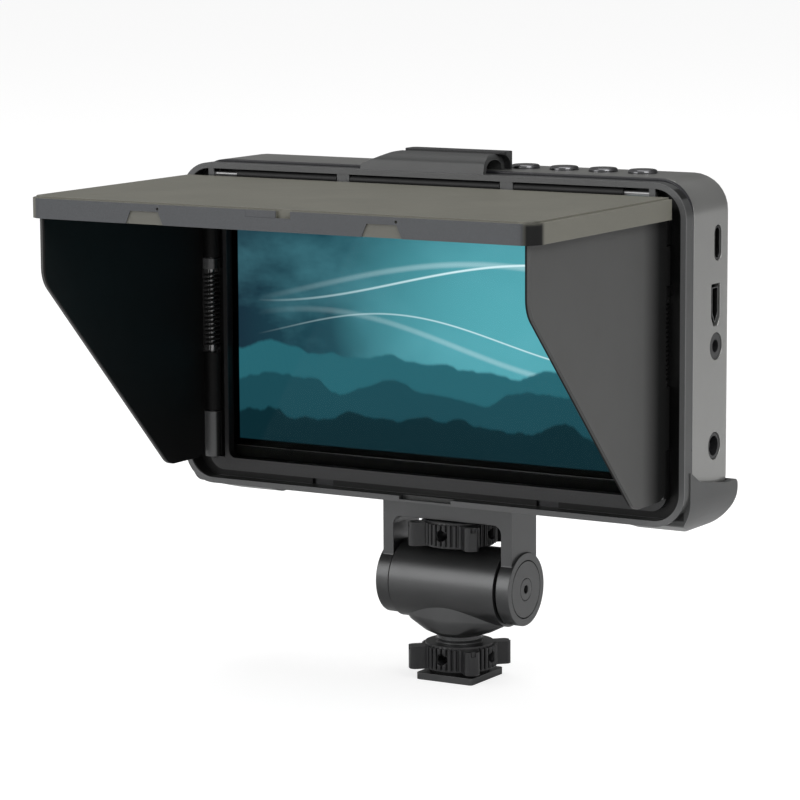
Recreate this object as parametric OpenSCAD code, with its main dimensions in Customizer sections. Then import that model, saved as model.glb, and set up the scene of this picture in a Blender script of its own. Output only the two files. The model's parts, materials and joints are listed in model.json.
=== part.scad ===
// Camera-top field monitor with a folding sun hood on a tilting shoe mount.
// Millimetres. X is across the screen, Y runs back from the viewer, Z is up.
// The origin is the centre of the shoe foot's underside.

/* [Monitor body] */
// Width of the monitor body
mon_w = 160.8; // [156:0.2:172]
// Height of the monitor body
mon_h = 93.8; // [90:0.2:104]
// Depth of the monitor body
mon_d = 25.4; // [23:0.2:32]
// Corner radius of the body seen from the front
mon_r = 10; // [8:0.5:12]
// Radius of the fillet round the back
mon_edge = 3; // [1:0.5:4]
// Wall of the rear shell
shell_t = 1.8; // [1.4:0.1:2.2]
// Thickness of the front bezel plate
bezel_t = 2; // [1.8:0.1:2.6]
// How far the front face stands before the shoe axis
front_set = 13.9; // [11:0.1:16]
// Thickness of the cover glass
glass_t = 1.1; // [0.7:0.1:1.4]
// Margin between the lit picture and the window's sides
lit_in = 1.4; // [0.4:0.1:3]
// Height of the lit picture
lit_h = 75; // [66:0.2:75.4]
// Thickness of the display panel
panel_t = 1.8; // [1.2:0.1:2.4]
// Thickness of the backlight
light_t = 1.6; // [1:0.1:2.2]
// Thickness of the circuit boards
board_t = 1.6; // [1:0.2:2]
// How far the window's centre lies below the body's centre
screen_drop = 0.8; // [0:0.1:1]
// How far the picture's centre lies above the window's centre
lit_rise = 3.2; // [0:0.1:3.3]

/* [Sun hood frame] */
// How far the hood stands out past each side of the body
hood_lap_x = 1.4; // [0.3:0.1:1.6]
// Half the difference between the hood's height and the body's
hood_lap_z = 0.2; // [0.1:0.1:0.4]
// Depth of the hood frame in front of the body
hood_d = 5.8; // [5.4:0.1:9]
// Wall of the hood frame
hood_t = 1.6; // [1.4:0.1:1.8]
// Width of the shadow groove round the hood's back edge
groove_w = 1.7; // [1:0.1:2.4]
// Depth of the shadow groove
groove_t = 1; // [0.6:0.1:1]
// Thickness of the channel floor
floor_t = 1; // [0.8:0.1:1.1]
// Margin between the viewing window and the body's sides
window_in = 12; // [11.9:0.1:13.4]
// Height of the viewing window
window_h = 79.4; // [76:0.2:80]
// Width of the raised ring above and below the window
ring_t = 3.7; // [3:0.1:3.8]
// Margin between the raised ring's ends and the body's sides
ring_in = 5.4; // [4.6:0.1:5.7]
// Width of the rib at each side of the window
rib_t = 1.3; // [0.8:0.1:1.8]
// Height of the raised ring above the body's face
ring_h = 2.9; // [2:0.1:3]
// Width of each snap window in the channel floor
snap_w = 7; // [4:0.5:10]
// Distance of the snap windows from the middle
snap_x = 37; // [30:0.5:50]
// Half width of the top clip
clip_half = 20; // [14:0.5:20.5]
// Place of the clip's middle to the right of the body's middle
clip_x = -1.4; // [-3:0.1:0]
// Rise of the top clip above the frame
clip_rise = 5.2; // [3.8:0.1:5.6]
// Sheet thickness of the top clip
clip_t = 1.6; // [1.2:0.1:1.8]
// Length of each corner hook along the bottom
hook_len = 21; // [14:0.5:26]
// How far the corner hooks hang below the body
hook_drop = 5.2; // [3:0.1:5.4]
// How far the corner hooks stand out past the frame's sides
hook_side = 0.3; // [0.2:0.1:1]

/* [Hood wings] */
// Reach of a wing from its hinge
wing_reach = 78.7; // [74:0.1:79.2]
// Wing sheet thickness
wing_t = 1.5; // [1.2:0.1:1.6]
// Distance of the wing hinge axis in from the body's side
wing_in = 7.2; // [7:0.1:7.4]
// Height of the wing's front edge
wing_nose = 21.6; // [12:0.2:30]
// Radius of the wing's bend below its front edge
wing_bend = 9; // [3:0.5:14]
// Radius of the wing's bend at its foot
wing_heel = 6; // [3:0.5:12]
// Flat length of the wing's bottom edge
wing_foot = 18; // [12:0.5:30]
// Radius of the hinge knuckles
knuckle_r = 2.45; // [2.2:0.05:2.5]
// Radius of the wings' hinge pins
pin_r = 1; // [0.8:0.05:1.1]

/* [Torsion springs] */
// Curls of each torsion spring
curls = 17; // [8:1:20]
// Height of each torsion spring
spring_h = 24.4; // [24:0.1:27]
// Wire radius of the torsion springs
wire_r = 0.38; // [0.3:0.01:0.42]

/* [Lid] */
// Reach of the lid from its hinge to its front edge
lid_reach = 81; // [80:0.1:84]
// Height of the lid's rim
lid_rim = 6; // [5:0.1:7]
// Lid sheet thickness
lid_t = 1.4; // [1.2:0.1:1.6]
// Radius of the lid's front corners seen from above
lid_r = 5; // [3.5:0.5:12]
// Rim wall thickness
rim_t = 1.6; // [1.2:0.1:1.8]
// Width of the lid's latch tab
latch_w = 9.4; // [6:0.2:12]
// Place of the latch tab to the right of the lid's middle
latch_x = -2.6; // [-4:0.1:4]
// Width of the latch's recess in the frame's lower lip
recess_w = 17; // [10:0.5:20]
// Width of the finger scoops in the lid's rim
scoop_w = 13; // [8:0.5:16]
// Radius of the lid's hinge pin
lid_pin_r = 0.8; // [0.6:0.05:0.85]

/* [Shoe mount] */
// Side of the square shoe foot
foot_w = 18.6; // [17.5:0.1:18.6]
// Thickness of the shoe foot
foot_t = 2; // [1.5:0.1:2]
// Radius of the threaded neck
neck_r = 6.9; // [5:0.1:7.4]
// Height of the tilt axis above the foot's underside
axis_z = 27.9; // [27.7:0.1:32]
// Radius of the tilt barrel
barrel_r = 11.3; // [9:0.1:11.4]
// Half length of the tilt barrel
barrel_half = 17.2; // [16.5:0.1:22]
// Radius of the tilt axle
axle_r = 3.2; // [2:0.1:4]
// Thickness of the friction washer on each side of the barrel
friction_t = 0.5; // [0.4:0.1:0.8]
// Thickness of the fork arms
arm_t = 3.5; // [3:0.1:4.5]
// Half depth of the fork arms, front to back
arm_half = 7.4; // [6:0.1:8.4]
// Radius of the fork's end discs
disc_r = 10.6; // [9:0.1:10.8]
// Thickness of the fork's top plate
plate_t = 5.2; // [3:0.1:6]
// Thickness of the rubber pad on the fork
pad_t = 2.7; // [2:0.1:3.2]

/* [Thumb wheels] */
// Radius of the ribbed body
wheel_r = 11; // [9.5:0.1:11.5]
// Reach of the four lobes
lobe_reach = 15.1; // [13:0.1:15.2]
// Width of the lobes
lobe_w = 4.4; // [3:0.1:5]
// Height of the thumb wheels
wheel_h = 7.4; // [6:0.1:7.5]
// Number of ribs round each thumb wheel
ribs = 40; // [24:4:44]
// Radius of the four cross holes
cross_r = 1.7; // [1:0.1:2]
// Radius of the tripod screw
screw_r = 3.1; // [2.8:0.05:3.2]
// How deep the tripod screw goes into the body
screw_in = 6; // [4:0.5:7]

/* [Buttons and sockets] */
// Number of buttons on the top
button_count = 4; // [4:1:4]
// Radius of the button caps
button_r = 4.1; // [3:0.1:4.6]
// Pitch of the buttons
button_pitch = 12.3; // [11.6:0.1:13]
// Place of the first button to the right of the middle
button_x = 21.8; // [21.5:0.1:24]
// How far the buttons stand proud
button_rise = 1.1; // [1:0.1:2]
// Button travel
button_travel = 0.6; // [0.3:0.1:0.8]
// Height of the USB socket above the body's underside
usb_up = 75.35; // [72:0.1:77]
// Height of the video socket above the body's underside
video_up = 58.3; // [57:0.1:62]
// Height of the headphone socket above the body's underside
phone_up = 46.8; // [40:0.1:47.5]
// Height of the power socket above the body's underside
power_up = 19.1; // [17:0.1:30]
// Radius of the headphone socket's bore
phone_r = 1.8; // [1.75:0.05:1.85]
// Radius of the power socket's bore
power_r = 2.75; // [2:0.05:3]

/* [Battery plate] */
// Width of the battery plate
plate_w = 38.4; // [30:0.2:44]
// Height of the battery plate
plate_h = 70; // [50:0.5:74]
// Rail height of the battery plate
rail_h = 6; // [5.8:0.1:7]
// Travel of the battery release
release_travel = 3; // [1:0.5:4]

/* [Clearances] */
// Running clearance round a turning shaft
run_gap = 0.05; // [0.02:0.01:0.09]
// Gap between pieces that move past each other
move_gap = 0.3; // [0.2:0.05:0.4]
// Gap round pieces that are assembled together
fit_gap = 0.15; // [0.1:0.05:0.25]

/* [Hidden] */
$fn = 64;
// Reach of a cutter past the face it opens
cut = 1;
// Shoe mount heights
barrel_gap = 0.2;
neck_top = 12.9;
stud_top = 20;
washer_t = 1.2;
knob_z = foot_t + washer_t;
arm_x = barrel_half + friction_t + 2 * run_gap;
disc_t = 4.2;
disc_out = arm_x + disc_t;
cap_t = 1.5;
cap_r = disc_r - 2.2;
wheel_z = axis_z + barrel_r + barrel_gap;
plate_z = wheel_z + wheel_h + barrel_gap;
pad_z = plate_z + plate_t;
body_z = pad_z + pad_t;
body_cz = body_z + mon_h / 2;
body_top = body_z + mon_h;
screen_z = body_cz - screen_drop;
lit_z = screen_z + lit_rise;
window_w = mon_w - 2 * window_in;
lit_w = window_w - 2 * lit_in;

// Monitor depths
face_y = -front_set;
glass_y = face_y + glass_t;
panel_y = glass_y + panel_t;
light_y = panel_y + light_t;
tray_y = light_y + 1;
bezel_y = face_y + bezel_t;
back_y = face_y + mon_d;
board_y = -2.1;
cavity_y = back_y - shell_t;
side_x = mon_w / 2;
glass_lap = 3.4;
glass_w = window_w + 2 * glass_lap;
glass_h = window_h + 2 * glass_lap;
panel_lap = 2;
panel_w = lit_w + 2 * panel_lap;
panel_h = lit_h + 2 * panel_lap;

// Screws, boards and sockets inside the body
screw_edge = 9;
screw_spots = [for (x = [-1, 1], z = [-1, 1])
  [x * (side_x - screw_edge), body_cz + z * (mon_h / 2 - screw_edge)]];
screw_hole = 1.2;
screw_head = 2.2;
insert_r = screw_r + 1.9;
insert_t = screw_in + 1.6;
board_w = mon_w - 2 * shell_t - 4;
board_h = 80;
flange_t = 1;
switch_z = body_top - shell_t - flange_t - button_travel - move_gap;
switch_base = switch_z - 3.2;
socket_x = side_x - 0.3;
socket_in = 8;
usb_y = 3.05;
video_y = 1.9;
phone_y = 2.3;
power_y = 1.7;
jack_r = 3.8;

// Battery plate
plate_floor = 1.8;
rail_t = 4;
rail_lip = 1.6;
contact_w = 20;
contact_h = 8;
contact_z = screen_z;
release_w = 8;
release_h = 10;
release_z = screen_z + plate_h / 2 - 14;

// Hood frame, whose middle is the window's middle
hood_w = mon_w + 2 * hood_lap_x;
hood_h = mon_h + 2 * hood_lap_z;
hood_r = mon_r - 0.4;
hood_top = screen_z + hood_h / 2;
hood_base = screen_z - hood_h / 2;
lip_y = face_y - hood_d;
floor_y = face_y - floor_t;
ring_y = face_y - ring_h;
ring_w = mon_w - 2 * ring_in;
ring_base = screen_z - window_h / 2 - ring_t;
ring_top = screen_z + window_h / 2 + ring_t;
inner_w = hood_w - 2 * hood_t;
inner_h = hood_h - 2 * hood_t;
clip_half_y = 6.2;
clip_y = lip_y + 1.1 + clip_half_y;
clip_slope = 9;

// Lid hinge and lid
lid_axis_y = lip_y + 1.5;
lid_barrel_r = 1.4;
lid_axis_z = hood_top - hood_t - lid_barrel_r - 0.2;
lid_top = lid_axis_z - 0.3;
lid_under = lid_top - lid_t;
lid_side_gap = 1.4;
lid_w = inner_w - 2 * lid_side_gap;
lid_front = lid_axis_y - lid_reach;
lid_back = lip_y - 2.5;
latch_h = 2.4;
latch_d = 1.1;
latch_notch = 4.6;
lid_lug_x = 26.5;
lid_lug_w = 4;
pin_end_x = hood_w / 2 - 9.4;
lid_end_x = pin_end_x - 9.8;

// Wing hinge and wings
wing_x = side_x - wing_in;
wing_axis_y = floor_y - move_gap - knuckle_r;
wing_out = wing_x + 3.05;
wing_rear = wing_axis_y - 2.3;
wing_front = wing_axis_y - wing_reach;
wing_base = ring_base + ring_t + 0.4;
wing_top = lid_under - 0.5;
lug_top = ring_top - ring_t - 0.4;
knuckle_z = wing_base + 13.6;
spring_z = knuckle_z + 17.3;
stop_lug_t = 3;
upper_z = spring_z + spring_h + stop_lug_t + move_gap;
upper_t = 10.6;

// ---- Plain shapes -------------------------------------------------------

// Extrudes a drawing in X and Z from y0 back to y1
module slab(y0, y1) {
  translate([0, y1, 0]) rotate([90, 0, 0]) linear_extrude(y1 - y0) children();
}

// Extrudes a drawing in Y and Z from x0 to x1
module run_x(x0, x1) {
  translate([x0, 0, 0]) rotate([90, 0, 90]) linear_extrude(x1 - x0) children();
}

// Extrudes a drawing in X and Y from z0 up to z1
module slab_z(z0, z1) {
  translate([0, 0, z0]) linear_extrude(z1 - z0) children();
}

module rod_x(x0, x1, y, z, r) {
  translate([x0, y, z]) rotate([0, 90, 0]) cylinder(h = x1 - x0, r = r);
}

module rod_y(y0, y1, x, z, r) {
  translate([x, y1, z]) rotate([90, 0, 0]) cylinder(h = y1 - y0, r = r);
}

module rod_z(z0, z1, x, y, r) {
  translate([x, y, z0]) cylinder(h = z1 - z0, r = r);
}

// A box from its lowest to its highest corner
module block(low, high) {
  translate(low) cube(high - low);
}

// A rectangle with round corners about a centre
module soft_rect(w, h, r, at = [0, 0]) {
  translate(at) {
    square([w - 2 * r, h], center = true);
    square([w, h - 2 * r], center = true);
    for (x = [-1, 1], y = [-1, 1])
      translate([x * (w / 2 - r), y * (h / 2 - r)]) circle(r);
  }
}

// A slot with round ends, long along the second axis
module slot(w, h, at) {
  translate(at) {
    square([w, h - w], center = true);
    for (y = [-1, 1]) translate([0, y * (h - w) / 2]) circle(w / 2);
  }
}

// The points of an arc of radius r that rounds the corner b between a and c
function corner(a, b, c, r, n = 6) =
  let (u = (a - b) / norm(a - b), v = (c - b) / norm(c - b), half = acos(u * v) / 2)
  let (o = b + (u + v) / norm(u + v) * r / sin(half), t = r / tan(half))
  let (p = b + u * t - o, q = b + v * t - o, a0 = atan2(p.y, p.x))
  let (turn = (atan2(q.y, q.x) - a0 + 540) % 360 - 180)
  [for (i = [0:n]) o + r * [cos(a0 + turn * i / n), sin(a0 + turn * i / n)]];

// An outline with each corner rounded by its own radius, which is above 0
function rounded(pts, radii) =
  let (n = len(pts))
  [for (i = [0:n - 1]) each corner(pts[(i + n - 1) % n], pts[i], pts[(i + 1) % n], radii[i])];

// ---- Shoe mount ---------------------------------------------------------

// Thread ridges as a stack of rings: the outline from z0 to z1
function thread(z0, z1, r, pitch, depth) =
  let (n = floor((z1 - z0) / pitch))
  [[0, z0], [r - depth, z0],
   for (i = [0:n - 1]) each [[r - depth, z0 + (i + 0.25) * pitch], [r, z0 + (i + 0.45) * pitch],
     [r, z0 + (i + 0.55) * pitch], [r - depth, z0 + (i + 0.75) * pitch]],
   [r - depth, z1], [0, z1]];

module shoe_foot() {
  color("dimgray") {
    linear_extrude(foot_t) soft_rect(foot_w, foot_w, 1);
    rotate_extrude() polygon(thread(foot_t, neck_top, neck_r, 1, 0.4));
    rod_z(neck_top, stud_top, 0, 0, neck_r - 2);
  }
}

module lock_washer() {
  color("darkgray") translate([0, 0, foot_t]) difference() {
    cylinder(h = washer_t, r = foot_w / 2 - 0.6);
    translate([0, 0, -cut]) cylinder(h = washer_t + 2 * cut, r = neck_r + run_gap);
  }
}

// One ribbed thumb wheel with four lobes, from height 0 up
module thumb_body(bore) {
  rib_r = 0.6;
  rib_d = 1;
  rib_end = 0.6;
  lobe_base = 0.15;
  lobe_top = wheel_h - 0.5;
  notch_r = 0.8;
  notch_h = 1.4;
  difference() {
    union() {
      cylinder(h = wheel_h, r = wheel_r - rib_d);
      for (i = [0:ribs - 1]) rotate((i + 0.5) * 360 / ribs)
        translate([wheel_r - rib_r, 0, rib_end]) cylinder(h = wheel_h - 2 * rib_end, r = rib_r);
      slab_z(lobe_base, lobe_top) for (a = [45:90:315])
        rotate(a) translate([lobe_reach / 2, 0]) soft_rect(lobe_reach, lobe_w, 1.6);
    }
    translate([0, 0, -cut]) cylinder(h = wheel_h + 2 * cut, r = bore);
    for (a = [0, 90]) rotate(a) rod_x(-wheel_r - cut, wheel_r + cut, 0, wheel_h / 2, cross_r);
    for (a = [45:90:315]) rotate(a) rod_z(lobe_top - notch_h, wheel_h, lobe_reach, 0, notch_r);
  }
}

module lock_knob() {
  color("#3c3c3c") translate([0, 0, knob_z]) thumb_body(neck_r + run_gap);
}

module thumb_wheel() {
  color("#3c3c3c") translate([0, 0, wheel_z]) thumb_body(screw_r);
}

module tripod_screw() {
  color("silver") {
    rod_z(wheel_z, plate_z, 0, 0, screw_r);
    rotate_extrude() polygon(thread(plate_z, body_z + screw_in, screw_r, 1.27, 0.5));
  }
}

// A thin level slice of the boss from its height, half length and half depth
module boss_slice(z, rx, ry) {
  translate([0, 0, z]) linear_extrude(0.2) scale([rx / ry, 1]) circle(ry);
}

// The barrel with its boss, a bowl that narrows down from the barrel to the neck
module tilt_barrel() {
  bowl = [[0, neck_r + 0.1, neck_r + 0.1], [1.3, 0.62 * barrel_half, 0.8 * barrel_r],
    [2.8, 0.76 * barrel_half, 0.84 * barrel_r], [3.8, 0.91 * barrel_half, 0.87 * barrel_r],
    [5.2, 0.98 * barrel_half, 0.87 * barrel_r], [9, 0.98 * barrel_half, 0.85 * barrel_r]];
  color("#464646") difference() {
    union() {
      rod_x(-barrel_half, barrel_half, 0, axis_z, barrel_r);
      hull() for (b = bowl) boss_slice(neck_top + b[0], b[1], b[2]);
    }
    rod_x(-barrel_half - cut, barrel_half + cut, 0, axis_z, axle_r);
    rod_z(neck_top - cut, stud_top, 0, 0, neck_r - 2);
  }
}

module tilt_axle() {
  color("silver") difference() {
    rod_x(-disc_out, disc_out, 0, axis_z, axle_r);
    for (s = [-1, 1]) translate([s * disc_out, 0, axis_z]) rotate([0, 90, 0])
      cylinder(h = disc_t, r = axle_r - 2, center = true);
  }
}

module friction_washers() {
  color("black") for (s = [-1, 1]) difference() {
    rod_x(s * barrel_half - (s < 0 ? friction_t : 0), s * barrel_half + (s > 0 ? friction_t : 0),
      0, axis_z, disc_r - 1);
    rod_x(-arm_x - cut, arm_x + cut, 0, axis_z, axle_r + run_gap);
  }
}

// One fork arm on the right side: a strap that ends in a disc with a cap seat
module fork_arm() {
  difference() {
    union() {
      rod_x(arm_x, disc_out, 0, axis_z, disc_r);
      block([arm_x, -arm_half, axis_z], [arm_x + arm_t, arm_half, pad_z]);
    }
    rod_x(arm_x - cut, disc_out + cut, 0, axis_z, axle_r + run_gap);
    rod_x(disc_out - cap_t, disc_out + cut, 0, axis_z, cap_r);
  }
}

module fork_bracket() {
  inner_r = 2.5;
  color("#464646") {
    for (s = [0, 1]) mirror([s, 0, 0]) fork_arm();
    difference() {
      union() {
        block([-arm_x, -arm_half, plate_z], [arm_x, arm_half, pad_z]);
        for (s = [-1, 1]) block([s * arm_x - inner_r, -arm_half, plate_z - inner_r],
          [s * arm_x + inner_r, arm_half, plate_z]);
      }
      for (s = [-1, 1]) rod_y(-arm_half - cut, arm_half + cut, s * (arm_x - inner_r),
        plate_z - inner_r, inner_r);
      rod_z(plate_z - cut, pad_z + cut, 0, 0, screw_r + fit_gap);
    }
  }
}

module end_cap(s) {
  x0 = s > 0 ? disc_out - cap_t : -disc_out;
  color("#404040") difference() {
    rod_x(x0, x0 + cap_t, 0, axis_z, cap_r - fit_gap);
    rod_x(x0 - cut, x0 + cap_t + cut, 0, axis_z, axle_r + run_gap);
  }
}

module end_cap_left() { end_cap(-1); }
module end_cap_right() { end_cap(1); }

// The pad's wide plate stays under the hood, and its round land meets the body
module fork_pad() {
  land_t = 1.3;
  color("#1c1c1c") difference() {
    union() {
      block([-arm_x - arm_t, -arm_half, pad_z], [arm_x + arm_t, arm_half, body_z - land_t]);
      rod_z(body_z - land_t, body_z, 0, 0, arm_half - 0.2);
    }
    rod_z(pad_z - cut, body_z + cut, 0, 0, screw_r + fit_gap);
  }
}

// ---- Monitor body -------------------------------------------------------

// The body's outline, drawn in by an inset
module body_face(inset) {
  soft_rect(mon_w - 2 * inset, mon_h - 2 * inset, mon_r - inset, [0, body_cz]);
}

// A layer of the body between two depths, drawn in by an inset all round
module body_layer(y0, y1, inset) {
  slab(y0, y1) soft_rect(mon_w - 2 * inset, mon_h - 2 * inset, mon_r - inset, [0, body_cz], $fn = 32);
}

// The body's outer form, whose back edge is rounded by a quarter circle
module body_form() {
  start = back_y - mon_edge;
  hull() {
    body_layer(bezel_y, start, 0);
    for (a = [30, 60, 90]) let (y = start + mon_edge * sin(a))
      body_layer(y - 0.2, y, mon_edge * (1 - cos(a)));
  }
}

// Fans of slots in the back wall that let warm air out
module vents() {
  for (s = [-1, 1], i = [0:8]) slab(cavity_y - cut, back_y + cut)
    slot(1.6, 22, [s * (34 + i * 3.6), body_cz + 22]);
}

module rear_shell() {
  wall = shell_t;
  boss_t = cavity_y - board_y;
  color("#8a8a88") {
    difference() {
      body_form();
      slab(bezel_y - cut, cavity_y) body_face(wall);
      for (i = [0:button_count - 1])
        rod_z(body_top - wall - cut, body_top + cut, button_x + i * button_pitch, 0, button_r + run_gap);
      run_x(side_x - wall - cut, side_x + cut) {
        slot(4.5, 9.9, [usb_y, body_z + usb_up]);
        polygon(video_outline(1.2));
      }
      rod_x(side_x - wall - cut, side_x + cut, phone_y, body_z + phone_up, jack_r);
      rod_x(side_x - wall - cut, side_x + cut, power_y, body_z + power_up, jack_r);
      rod_z(body_z - cut, body_z + wall + cut, 0, 0, insert_r);
      for (p = screw_spots) rod_y(cavity_y - cut, back_y + cut, p.x, p.y, screw_head);
      vents();
      block([-plate_w / 2 + 4, cavity_y - cut, screen_z - 8], [plate_w / 2 - 4, back_y + cut, screen_z + 8]);
    }
    for (p = screw_spots) difference() {
      rod_y(board_y, cavity_y + 0.4, p.x, p.y, 3.4);
      rod_y(board_y - cut, back_y + cut, p.x, p.y, screw_hole);
    }
  }
}
module shell_screws() {
  head_t = shell_t - 0.4;
  color("dimgray") for (p = screw_spots) difference() {
    union() {
      rod_y(cavity_y + 0.4, cavity_y + head_t, p.x, p.y, screw_head - fit_gap);
      rod_y(board_y, cavity_y + 0.4, p.x, p.y, screw_hole);
    }
    slab(cavity_y + head_t - 0.7, back_y + cut) translate(p) circle(1, $fn = 6);
  }
}

module front_bezel() {
  skirt_t = 1.2;
  skirt = shell_t + fit_gap;
  color("#2c2c2e") difference() {
    union() {
      slab(face_y, bezel_y) body_face(0);
      slab(bezel_y, bezel_y + 3) body_face(skirt);
    }
    slab(face_y - cut, glass_y) soft_rect(glass_w, glass_h, 4, [0, screen_z]);
    slab(glass_y - cut, bezel_y + cut) soft_rect(panel_w + 2 * fit_gap, panel_h + 2 * fit_gap, 1, [0, lit_z]);
    slab(bezel_y, bezel_y + 3 + cut) body_face(skirt + skirt_t);
  }
}

module cover_glass() {
  color([0.2, 0.2, 0.24, 0.4])
    slab(face_y, glass_y) soft_rect(glass_w - 2 * fit_gap, glass_h - 2 * fit_gap, 4 - fit_gap, [0, screen_z]);
}

module lcd_panel() {
  color("teal") slab(glass_y, panel_y) soft_rect(panel_w, panel_h, 0.8, [0, lit_z]);
}

module backlight() {
  color("white") slab(panel_y, light_y) soft_rect(panel_w, panel_h, 0.8, [0, lit_z]);
}

// The sheet metal tray that backs the display, with turned legs to the board
module panel_tray() {
  leg = 4;
  color("silver") {
    slab(light_y, tray_y) soft_rect(panel_w + 3, panel_h + 3, 1.5, [0, lit_z]);
    for (x = [-1, 1], z = [-1, 1]) rod_y(tray_y, board_y - board_t, x * 40, screen_z + z * 28, leg / 2);
  }
}

module main_board() {
  board_gap = 2;
  chips = [[-30, 20, 14, 14], [8, 22, 11, 11], [30, -4, 8, 12], [-42, -14, 10, 8], [-8, -20, 18, 9]];
  color("darkgreen") slab(board_y - board_t, board_y) difference() {
    soft_rect(board_w, board_h, 3, [0, screen_z]);
    for (p = screw_spots) translate(p) circle(screw_hole + fit_gap);
    translate([0, body_z]) square(2 * [insert_r + board_gap, insert_t + board_gap], center = true);
  }
  color("black") for (c = chips)
    slab(board_y, board_y + 1.4) soft_rect(c[2], c[3], 0.4, [c[0], screen_z + c[1]]);
}

// The flat cable from the board round to the display tray
module display_cable() {
  cable = [24, 0.6];
  drop = 20;
  color("orange") slab(tray_y, board_y - board_t) translate([0, screen_z - drop]) square(cable, center = true);
}

module button_board() {
  span = (button_count - 1) * button_pitch;
  half = 5.1;
  over = 6;
  key = 2.5;
  color("darkgreen") block([button_x - over, -half - 0.5, switch_base],
    [button_x + span + over, half - 0.5, switch_base + board_t]);
  color("black") for (i = [0:button_count - 1]) {
    x = button_x + i * button_pitch;
    block([x - key, -key, switch_base + board_t], [x + key, key, switch_z - 0.6]);
    rod_z(switch_z - 0.6, switch_z, x, 0, key / 2);
  }
}

// A domed cap on a stem with a flange that keeps it in its hole
module button(i) {
  inside = body_top - shell_t - run_gap;
  edge = 0.8;
  rim_z = body_top + button_rise - edge;
  color("#2a2a2a") translate([button_x + i * button_pitch, 0, 0]) {
    rod_z(inside - flange_t, inside, 0, 0, button_r + 0.6);
    rod_z(inside, rim_z, 0, 0, button_r);
    translate([0, 0, rim_z]) rotate_extrude() polygon([[0, 0],
      for (a = [0:15:90]) [button_r - edge * (1 - cos(a)), edge * sin(a)], [0, edge]]);
  }
}

module button_1() { button(0); }
module button_2() { button(1); }
module button_3() { button(2); }
module button_4() { button(3); }

// Sockets on the right side, which stand on the board's back face

// The tapered outline of the video socket, wide end up, grown by a margin
function video_outline(grow) =
  let (z = body_z + video_up, half = 1.5 + grow, high = 4.6 + grow, taper = 2.4)
  [[video_y - half, z + high], [video_y + half, z + high], [video_y + half, z - high + taper],
   [video_y + half - 1.4, z - high], [video_y - half + 1.4, z - high], [video_y - half, z - high + taper]];

module usb_c_socket() {
  z = body_z + usb_up;
  color("silver") {
    difference() {
      run_x(socket_x - socket_in, socket_x) slot(3.3, 9, [usb_y, z]);
      run_x(socket_x - socket_in + 1, socket_x + cut) slot(2.7, 8.4, [usb_y, z]);
    }
    block([socket_x - socket_in, board_y, z - 3], [socket_x - 2.5, usb_y - 1.5, z + 3]);
  }
  color("black") block([socket_x - socket_in + 0.5, usb_y - 0.35, z - 3.3],
    [socket_x - 1, usb_y + 0.35, z + 3.3]);
}

module video_socket() {
  z = body_z + video_up;
  color("silver") {
    difference() {
      run_x(socket_x - socket_in, socket_x) polygon(video_outline(0.3));
      run_x(socket_x - socket_in + 1, socket_x + cut) polygon(video_outline(0));
    }
    block([socket_x - socket_in, board_y, z - 3], [socket_x - 2.5, video_y - 1.6, z + 3]);
  }
  color("black") block([socket_x - socket_in + 0.5, video_y - 0.3, z - 2.6],
    [socket_x - 1, video_y + 0.3, z + 3.6]);
}

// A round socket: a collar in the wall's hole on a square housing
module round_socket(y, z, bore, deep) {
  color("#202020") difference() {
    union() {
      rod_x(side_x - shell_t - 1, socket_x, y, z, jack_r - fit_gap);
      block([socket_x - deep - 2, board_y, z - 4], [side_x - shell_t - 0.4, y + 3.8, z + 4]);
    }
    rod_x(socket_x - deep, socket_x + cut, y, z, bore);
  }
}

module headphone_socket() { round_socket(phone_y, body_z + phone_up, phone_r, 13); }

module power_socket() {
  round_socket(power_y, body_z + power_up, power_r, 9.5);
  color("silver") rod_x(socket_x - 9.5, socket_x - 1.5, power_y, body_z + power_up, 1.05);
}

module tripod_insert() {
  color("gold") difference() {
    union() {
      rod_z(body_z, body_z + insert_t, 0, 0, insert_r);
      rod_z(body_z + shell_t, body_z + shell_t + 1, 0, 0, insert_r + 1.4);
    }
    rod_z(body_z - cut, body_z + screw_in + 0.6, 0, 0, screw_r + run_gap);
  }
}

// ---- Battery plate on the back ------------------------------------------

// The rails lean over a shallow floor, and the battery slides down between them
module battery_plate() {
  plate_y = back_y + plate_floor;
  rail_y = plate_y + rail_h;
  channel = plate_w - 2 * rail_t;
  color("#303030") difference() {
    slab(back_y, rail_y) soft_rect(plate_w, plate_h, 3, [0, screen_z]);
    translate([0, 0, 4]) {
      slab(plate_y, rail_y + cut) translate([0, screen_z]) square([channel, plate_h], center = true);
      slab(plate_y, rail_y - rail_lip) translate([0, screen_z])
        square([channel + 2 * rail_lip, plate_h], center = true);
    }
    slab(back_y - cut, plate_y + cut) {
      soft_rect(contact_w + 2 * fit_gap, contact_h + 2 * fit_gap, 0.6, [0, contact_z]);
      translate([0, release_z])
        square([release_w + 2 * fit_gap, release_h + 2 * release_travel], center = true);
    }
  }
}

// The contact block stands on the board and comes up through both walls
module battery_contacts() {
  top_y = back_y + plate_floor;
  color("black") slab(board_y, top_y) soft_rect(contact_w, contact_h, 0.6, [0, contact_z]);
  color("gold") for (x = [-6, 0, 6])
    slab(top_y, top_y + 1.2) translate([x, contact_z]) square([1.6, 5], center = true);
}

module battery_release() {
  color("#a03020") {
    slab(back_y + run_gap, back_y + 1.4) translate([0, release_z]) square([release_w, release_h], center = true);
    slab(back_y + 1.4, back_y + 2.8) translate([0, release_z - 2]) square([6, 3], center = true);
  }
}

// ---- Sun hood frame -----------------------------------------------------

module hood_face(inset) {
  soft_rect(hood_w - 2 * inset, hood_h - 2 * inset, hood_r - inset, [0, screen_z]);
}

module window_face(grow, r) {
  soft_rect(window_w + 2 * grow, window_h + 2 * grow, r, [0, screen_z]);
}

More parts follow.
